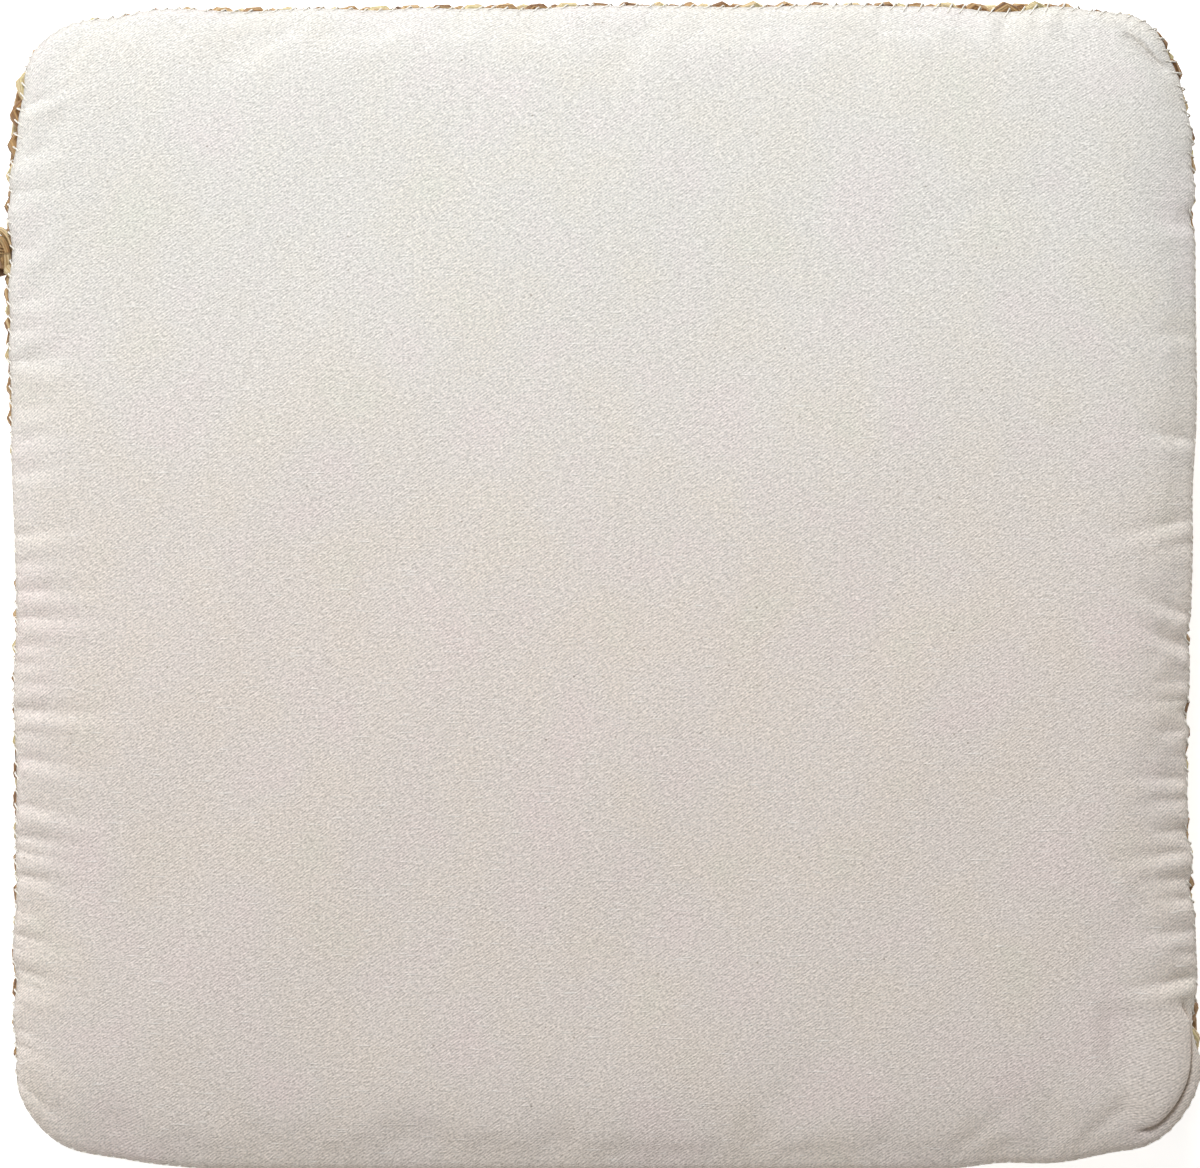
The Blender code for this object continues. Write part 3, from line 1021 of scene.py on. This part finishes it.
def line_crease(x, y, start, end, bow, depth, half_width):
    """A crease along a bowed line from start to end, fading out at both, in metres."""
    (x0, y0), (x1, y1) = [(px * MM, py * MM) for px, py in (start, end)]
    length = math.hypot(x1 - x0, y1 - y0)
    along = ((x - x0) * (x1 - x0) + (y - y0) * (y1 - y0)) / length**2
    across = ((x - x0) * (y0 - y1) + (y - y0) * (x1 - x0)) / length
    arch = np.sin(math.pi * np.clip(along, 0, 1))
    gap = (across - bow * MM * arch) / (half_width * MM)
    # The cloth stands in a soft puff on the crease's outer side
    profile = np.exp(-np.abs(gap)) - 0.35 * np.exp(-(((gap - 2.2) / 1.3) ** 2))
    return -depth * MM * arch**0.6 * profile


def puckers(x, y):
    """Valleys that run in from the stitches, with soft puffs between, from -1 up."""
    total = np.zeros_like(x)
    for side, valleys in PUCKERS.items():
        along, deep, belongs = on_side(x, y, side)
        inward = np.maximum(deep, 0.0)
        for place, reach, slant, depth in valleys:
            gap = along - place * MM - slant * inward
            # The face turned to the front is steep, the one turned to the back soft
            width = np.where(gap > 0, 0.0029, 0.0014) * (1 + inward / 0.030)
            fade = np.exp(-((inward / (reach * MM)) ** 2)) * (1 - np.exp(-inward / 0.0016))
            valley = np.exp(-np.sqrt(gap**2 + 0.0004**2) / width)
            puff = 0.45 * np.exp(-(((gap + 0.0055) / 0.0040) ** 2))
            total += belongs * depth * fade * (puff - valley)
    return total


def unevenness(x, y):
    """Broad, low lumps of the wadding under the cotton, from -1 to 1."""
    rng = random.Random(3)
    total = np.zeros_like(x)
    for wave in range(14):
        angle = rng.uniform(0, math.pi)
        size = rng.uniform(0.035, 0.16)
        run = (x * math.cos(angle) + y * math.sin(angle)) / size
        total += np.sin(2 * math.pi * run + rng.uniform(0, 2 * math.pi)) * size / 0.16
    return total / 4


def pleat_share(x, y):
    """1 along the pleat round the front right corner, fading to 0 past its two ends."""
    centre_x, centre_y = STRAIGHT_X, -STRAIGHT_Y
    angle = np.arctan2(centre_y - y, x - centre_x)
    run = np.where(y > centre_y, centre_y - y, CORNER_RADIUS * np.clip(angle, -1.0, 1.6))
    run = np.where(x < centre_x, CORNER_RADIUS * math.pi / 2 + centre_x - x, run)
    start = np.clip((run + 0.028) / 0.012, 0, 1)
    end = np.clip((0.050 - run) / 0.016, 0, 1)
    near_x = np.clip((x - HALF_X + 0.130) / 0.050, 0, 1)
    near_y = np.clip((-y - HALF_Y + 0.150) / 0.050, 0, 1)
    share = start * end * (near_x * near_y)
    return share * share * (3 - 2 * share)


def lay_cotton(x, y, full=True):
    """Where points of the flat plan lie on the finished cotton, before it is set by hand."""
    settings = bpy.context.scene.cushion_cotton
    deep, normal_x, normal_y = nearest_edge(x, y)
    deep = np.maximum(deep, 0.0)
    edge_x, edge_y = x + normal_x * deep, y + normal_y * deep
    pull = 0.0006 + summed(edge_x, edge_y, COTTON_PULLS)
    gap = stitch_gap(x, y, normal_x, normal_y)
    pinch = np.exp(-((gap / 0.0013) ** 2)) * (deep < 0.012)
    inset = pull * np.exp(-((deep / 0.014) ** 2))
    inset += 0.00025 * pinch * np.exp(-((deep / 0.0025) ** 2))
    bulge = settings.roll * np.clip(1.2 - pull / 0.003, 0.2, 1.2)
    inset -= bulge * np.exp(-(((deep - 0.0030) / 0.0024) ** 2))
    z = HEM_LIFT + crown(deep, settings.crown - HEM_LIFT)
    if full:
        valleys = puckers(x, y) * settings.pucker
        z += valleys
        z += 0.00060 * unevenness(x, y) * np.clip(deep / 0.03, 0, 1)
        z -= 0.00035 * pinch * np.exp(-(((deep - 0.0025) / 0.0020) ** 2))
        for crease in CREASES:
            z += line_crease(x, y, *crease)
        share = pleat_share(x, y)
        run, pleat_in, pleat_up = (np.array(column) * MM for column in zip(*PLEAT))
        shift = np.interp(deep, run, pleat_in) - deep
        shift += (pull - 0.0006) * np.exp(-((deep / 0.004) ** 2))
        inset = inset * (1 - share) + shift * share
        raised = share * np.clip((0.030 - deep) / 0.010, 0, 1)
        z = z * (1 - raised) + (np.interp(deep, run, pleat_up) + 0.3 * valleys) * raised
    return np.c_[x - normal_x * inset, y - normal_y * inset, WALL_TOP + z]


class CUSHION_OT_cotton(bpy.types.Operator):
    """The cotton panel, crowned over its wadding and puckered by its stitches"""

    bl_idname = "cushion.cotton"
    bl_label = "Cotton Panel"

    def execute(self, context):
        settings = context.scene.cushion_cotton
        mesh = slab(HALF_X, HALF_Y, settings.grid, bands=((7, 2), (7, 1)))
        square = read_points(mesh)
        plan, _ = shells_in_plan(square, self.depth, HALF_X, HALF_Y, CORNER_RADIUS)
        upper = square[:, 2] > 0.5
        co = lay_cotton(plan[:, 0], plan[:, 1])
        under = lay_cotton(plan[:, 0], plan[:, 1], full=False)
        deep, _, _ = nearest_edge(plan[:, 0], plan[:, 1])
        lining = crown(np.maximum(deep - 0.006, 0), settings.crown) - 0.0016
        sunk = WALL_TOP - HEM_LIFT + np.maximum(lining, 0)
        co[~upper, :2] = under[~upper, :2]
        co[~upper, 2] = np.minimum(sunk, under[:, 2])[~upper]
        self.keep_cut(mesh, plan)
        co = set_by_hand(co)
        loose = upper * np.clip((deep - 0.002) / 0.010, 0, 1)
        loose = loose * (1 - pleat_share(plan[:, 0], plan[:, 1]))
        co += self.settling(square) * loose[:, None]
        write_points(mesh, co)
        mesh.shade_smooth()
        piece = new_piece("cotton_panel_sewn", mesh, cotton_twill, "cotton_twill", "cotton_panel")
        return {"FINISHED"}

    def settling(self, square):
        """Cloth simulation: how far the cotton moves as its wadding presses it up from its hem.

        A coarser cloth settles, and its moves are read off at the square points of the finer one.
        """
        settings = bpy.context.scene.cushion_cotton
        mesh = slab(HALF_X, HALF_Y, settings.settling_grid)
        coarse = read_points(mesh)
        plan, deep = shells_in_plan(coarse, self.depth, HALF_X, HALF_Y, CORNER_RADIUS)
        upper = coarse[:, 2] > 0.5
        co = lay_cotton(plan[:, 0], plan[:, 1])
        co[~upper, 2] = WALL_TOP - HEM_LIFT
        write_points(mesh, set_by_hand(co))
        body = link(bpy.data.objects.new("cotton_settling", mesh))
        held = body.vertex_groups.new(name="held")
        held.add(np.nonzero(~upper | (deep < 0.001))[0].tolist(), 1.0, "REPLACE")
        cloth = body.modifiers.new("cloth", "CLOTH")
        cloth.settings.vertex_group_mass = "held"
        cloth.settings.use_pressure = True
        cloth.settings.uniform_pressure_force = settings.pressure
        cloth.settings.shrink_min = -settings.fullness
        cloth.settings.effector_weights.gravity = 0.0
        cloth.collision_settings.use_collision = False
        cloth.point_cache.frame_end = settings.frames
        before = read_points(mesh)
        for step in range(1, settings.frames + 1):
            bpy.context.scene.frame_set(step)
        settled = baked(body)
        bpy.context.scene.frame_set(1)
        moved = (read_points(settled) - before)[upper]
        far = np.linalg.norm(moved, axis=1, keepdims=True)
        moved *= settings.cap / (settings.cap + far)
        # The coarse cloth's points lie on a grid over the square
        xs, ys = np.unique(coarse[upper, 0].round(6)), np.unique(coarse[upper, 1].round(6))
        column = np.searchsorted(xs, coarse[upper, 0].round(6))
        row = np.searchsorted(ys, coarse[upper, 1].round(6))
        grid = np.zeros((len(xs), len(ys), 3))
        grid[column, row] = moved
        at_x = np.interp(square[:, 0], xs, np.arange(len(xs)))
        at_y = np.interp(square[:, 1], ys, np.arange(len(ys)))
        left = np.minimum(at_x.astype(int), len(xs) - 2)
        low = np.minimum(at_y.astype(int), len(ys) - 2)
        part_x, part_y = (at_x - left)[:, None], (at_y - low)[:, None]
        return (
            grid[left, low] * (1 - part_x) * (1 - part_y)
            + grid[left + 1, low] * part_x * (1 - part_y)
            + grid[left, low + 1] * (1 - part_x) * part_y
            + grid[left + 1, low + 1] * part_x * part_y
        )

    def depth(self, share):
        """Depth of the shell at this share of the way in: close at the edge, even further in."""
        depths = (0.0, 0.0065, 0.0160, 0.0380, HALF_Y)
        return np.interp(share, (0.0, 0.045, 0.090, 0.180, 1.0), depths)

    def keep_cut(self, mesh, plan):
        """Stores where each point lay on the flat cut, in metres."""
        deep, normal_x, normal_y = nearest_edge(plan[:, 0], plan[:, 1])
        # Share of soil and painted shade at the hem, which darkens the cotton there
        hem_soil_and_painted_shade = np.exp(-np.maximum(deep, 0) / 0.0011)
        mesh.attributes.new("hem", "FLOAT", "POINT").data.foreach_set("value", hem_soil_and_painted_shade)
        spare = 0.0046 * np.exp(-np.maximum(deep, 0) / 0.004)
        cut = np.c_[plan[:, 0] + normal_x * spare, plan[:, 1] + normal_y * spare]
        corner = np.empty(len(mesh.loops), int)
        mesh.loops.foreach_get("vertex_index", corner)
        mesh.uv_layers.new(name="cut").data.foreach_set("uv", cut[corner].ravel())


class CUSHION_OT_stitches(bpy.types.Operator):
    """Slanted whip stitches from the top plait over the cotton's rolled edge"""

    bl_idname = "cushion.stitches"
    bl_label = "Whip Stitches"

    def execute(self, context):
        settings = context.scene.cushion_stitch
        rng = random.Random(12)
        paths = []
        for at in stitch_places():
            slant = settings.slant * rng.uniform(0.6, 1.3)
            middle, _ = trace(HALF_X, HALF_Y, CORNER_RADIUS, [at])
            extra = summed(*middle.T, LONG_BITES)[0]
            bite = (settings.bite + extra) * rng.uniform(0.65, 1.3)
            # Out of the plait just beyond the cotton's hem, and over it
            runs = at + slant * np.array([-0.5, -0.35, -0.1])
            outline, normal = trace(HALF_X, HALF_Y, CORNER_RADIUS, runs)
            hem = lay_cotton(outline[:, 0], outline[:, 1])
            spare = np.sum((outline - hem[:, :2]) * normal, axis=1)
            reach = np.clip(spare - 0.0004, 0.0, 0.0009 + 0.6 * extra)
            outward = normal * (reach * [0.5, 1.0, 0.35])[:, None]
            outer = hem + np.c_[outward, [-0.0034, -0.0016, 0.0001]]
            runs = at + slant * np.array([0.05, 0.25, 0.45, 0.5])
            edge, normal = trace(HALF_X, HALF_Y, CORNER_RADIUS, runs)
            plan = edge - normal * (np.array([0.15, 0.5, 0.95, 1.05]) * bite)[:, None]
            inner = lay_cotton(plan[:, 0], plan[:, 1])
            inner[:, 2] += np.array([0.0002, 0.0003, 0.0002, -0.0006])
            paths.append(set_by_hand(np.vstack([outer, inner])))
        mesh = swept("whip_stitches", paths, radius=settings.thread / 2, closed=False)
        new_piece("whip_stitches", mesh, cotton_thread, "cotton_thread", "edge_whipstitch")
        return {"FINISHED"}


class CUSHION_OT_filling(bpy.types.Operator):
    """The foam block, its liner and the wadding over it"""

    bl_idname = "cushion.filling"
    bl_label = "Filling"

    def execute(self, context):
        foam = self.block("foam_block", "foam_core", 0.004, 0.0, open_cell_foam, "foam")
        liner = self.block("liner_bag", "inner_liner", 0.005, 0.0004, bonded_liner, "liner_cloth")
        skin = liner.modifiers.new("cloth", "SOLIDIFY")
        skin.thickness = 0.0004
        skin.offset = -1.0
        self.wadding()
        thread = bpy.data.objects[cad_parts["liner_closing_thread"].name]
        thread.data.materials.clear()
        thread.data.materials.append(stored(cotton_thread))
        return {"FINISHED"}

    def block(self, name, node, round_over, ripple, make, slot):
        """A block with rounded corners and edges that fills a part's box."""
        low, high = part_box(node)
        half_x, half_y, half_z = [(b - a) / 2 for a, b in zip(low, high)]
        corner = CORNER_RADIUS - (HALF_X - half_x)
        mesh = slab(half_x, half_y, 0.008)
        square = read_points(mesh)
        shell = np.maximum(np.abs(square[:, 0]), np.abs(square[:, 1]))
        # The outer shells run up the side, the next turn over its edge, the rest lie flat
        flat_from = half_z - round_over
        runs = (0.0, flat_from, half_z + round_over * 0.57, 0.30)
        run = np.interp(1 - shell, (0.0, 0.12, 0.18, 1.0), runs)
        turn = np.clip((run - flat_from) / round_over, 0, math.pi / 2)
        inset = round_over * (1 - np.cos(turn))
        up = np.minimum(run, flat_from) + round_over * np.sin(turn)
        share = (1 - shell - 0.18) / 0.82
        inset = np.where(share > 0, round_over + share * (half_y - round_over), inset)
        plan, _ = shells_in_plan(square, lambda _: inset, half_x, half_y, corner)
        side = np.where(square[:, 2] > 0.5, 1.0, -1.0)
        up = np.where(shell > 0.9999, 0.0005, up)
        wave = ripple * (np.sin(plan[:, 0] * 210 + plan[:, 1] * 90) * np.sin(plan[:, 1] * 170) - 1)
        co = np.c_[plan, (low.z + high.z) / 2 + side * (up + wave * (up > 0.001))]
        write_points(mesh, set_by_hand(co))
        mesh.shade_smooth()
        return new_piece(name, mesh, make, slot, node)

    def wadding(self):
        """The soft pad that crowns the cotton."""
        low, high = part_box("wadding_layer")
        settings = bpy.context.scene.cushion_cotton
        mesh = slab(high.x, high.y, 0.005)
        square = read_points(mesh)
        corner = CORNER_RADIUS - (HALF_X - high.x)
        size = high.x, high.y
        plan, deep = shells_in_plan(square, lambda share: share * high.y, *size, corner)
        under_cotton = crown(deep + HALF_X - high.x - 0.006, settings.crown) - 0.0022
        loft = WALL_TOP + under_cotton + 0.0003 * unevenness(plan[:, 0] * 3, plan[:, 1] * 3)
        edge = 1 - np.exp(-deep / 0.003)
        upper = square[:, 2] > 0.5
        top = low.z + 0.0025 + (loft - low.z - 0.0025) * edge
        co = np.c_[plan, np.where(upper, top, low.z + 0.0006 * (1 - edge))]
        write_points(mesh, set_by_hand(co))
        mesh.shade_smooth()
        pad = new_piece("wadding_pad", mesh, fibre_wadding, "wadding", "wadding_layer")


class CUSHION_OT_stage(bpy.types.Operator):
    """The floor, the soft studio light and the camera over the cotton"""

    bl_idname = "cushion.stage"
    bl_label = "Stage"

    def execute(self, context):
        settings = context.scene.cushion_stage
        self.floor()
        self.light("key", (-0.21, 1.04, 1.37), 0.85, 31.3, "F2F7FF")
        self.light("window", (-3.2, -0.34, 1.75), 1.6, 33.0, "F6F9FF")
        self.light("fill", (0.5, -1.6, 1.4), 1.8, 1.8, "FFF0E0")
        self.sky(context)
        data = bpy.data.cameras.new("camera")
        data.sensor_width = 36.0
        data.lens = data.sensor_width * settings.distance / settings.width
        data.clip_end = 100.0
        camera = link(bpy.data.objects.new("camera", data))
        camera.location = (-0.0012, 0.0, WALL_TOP + settings.distance)
        context.scene.camera = camera
        return {"FINISHED"}

    def sky(self, context):
        """Pale surroundings, brighter at the horizon than overhead."""
        world = bpy.data.worlds.new("studio")
        world.use_nodes = True
        tree = world.node_tree
        tree.nodes.clear()
        place = add_node(tree, "TexCoord").outputs["Generated"]
        split = add_node(tree, "SeparateXYZ", {0: place})
        rise = {"Value": split.outputs["Z"], "From Min": 0.02, "From Max": 0.42}
        level = add_node(tree, "MapRange", {**rise, "To Min": 0.97, "To Max": 0.184})
        glow = add_node(tree, "Background", {"Color": linear("FCFBF9"), "Strength": level})
        add_node(tree, "OutputWorld", {"Surface": glow})
        context.scene.world = world
        context.scene.view_settings.view_transform = "Standard"

    def floor(self):
        mesh = bpy.data.meshes.new("floor")
        bm = bmesh.new()
        bmesh.ops.create_grid(bm, x_segments=1, y_segments=1, size=30.0)
        bmesh.ops.translate(bm, verts=bm.verts, vec=(0.0, 0.0, -0.0002))
        bm.to_mesh(mesh)
        bm.free()
        mesh.materials.append(stored(studio_floor))
        link(bpy.data.objects.new("floor", mesh))

    def light(self, name, location, size, power, colour):
        data = bpy.data.lights.new(name, "AREA")
        data.size = size
        data.energy = power
        data.color = linear(colour)[:3]
        lamp = link(bpy.data.objects.new(name, data))
        lamp.location = location
        lamp.rotation_euler = (-lamp.location).to_track_quat("-Z", "Y").to_euler()


class CUSHION_PT_panel(bpy.types.Panel):
    """Lists the cushion's pieces"""

    bl_idname = "CUSHION_PT_panel"
    bl_label = "Floor Cushion"
    bl_space_type = "VIEW_3D"
    bl_region_type = "UI"
    bl_category = "Cushion"

    def draw(self, context):
        for operator in OPERATORS:
            self.layout.operator(operator.bl_idname)
        for name, group in GROUPS.items():
            for key in group.__annotations__:
                self.layout.prop(getattr(context.scene, name), key)


GROUPS = {
    "cushion_cotton": CottonSettings,
    "cushion_plait": PlaitSettings,
    "cushion_stitch": StitchSettings,
    "cushion_stage": StageSettings,
}
OPERATORS = (
    CUSHION_OT_section,
    CUSHION_OT_filling,
    CUSHION_OT_face,
    CUSHION_OT_wall,
    CUSHION_OT_lacing,
    CUSHION_OT_tail,
    CUSHION_OT_cotton,
    CUSHION_OT_stitches,
    CUSHION_OT_stage,
)


def register():
    for group in (*GROUPS.values(), *OPERATORS, CUSHION_PT_panel):
        bpy.utils.register_class(group)
    for name, group in GROUPS.items():
        setattr(bpy.types.Scene, name, PointerProperty(type=group))


def unregister():
    for name in GROUPS:
        delattr(bpy.types.Scene, name)
    for group in reversed((*GROUPS.values(), *OPERATORS, CUSHION_PT_panel)):
        bpy.utils.unregister_class(group)


def main():
    register()
    for operator in OPERATORS:
        family, name = operator.bl_idname.split(".")
        getattr(getattr(bpy.ops, family), name)()
    bpy.data.objects.remove(bpy.data.objects["strand_section"])


if __name__ == "__main__":
    main()
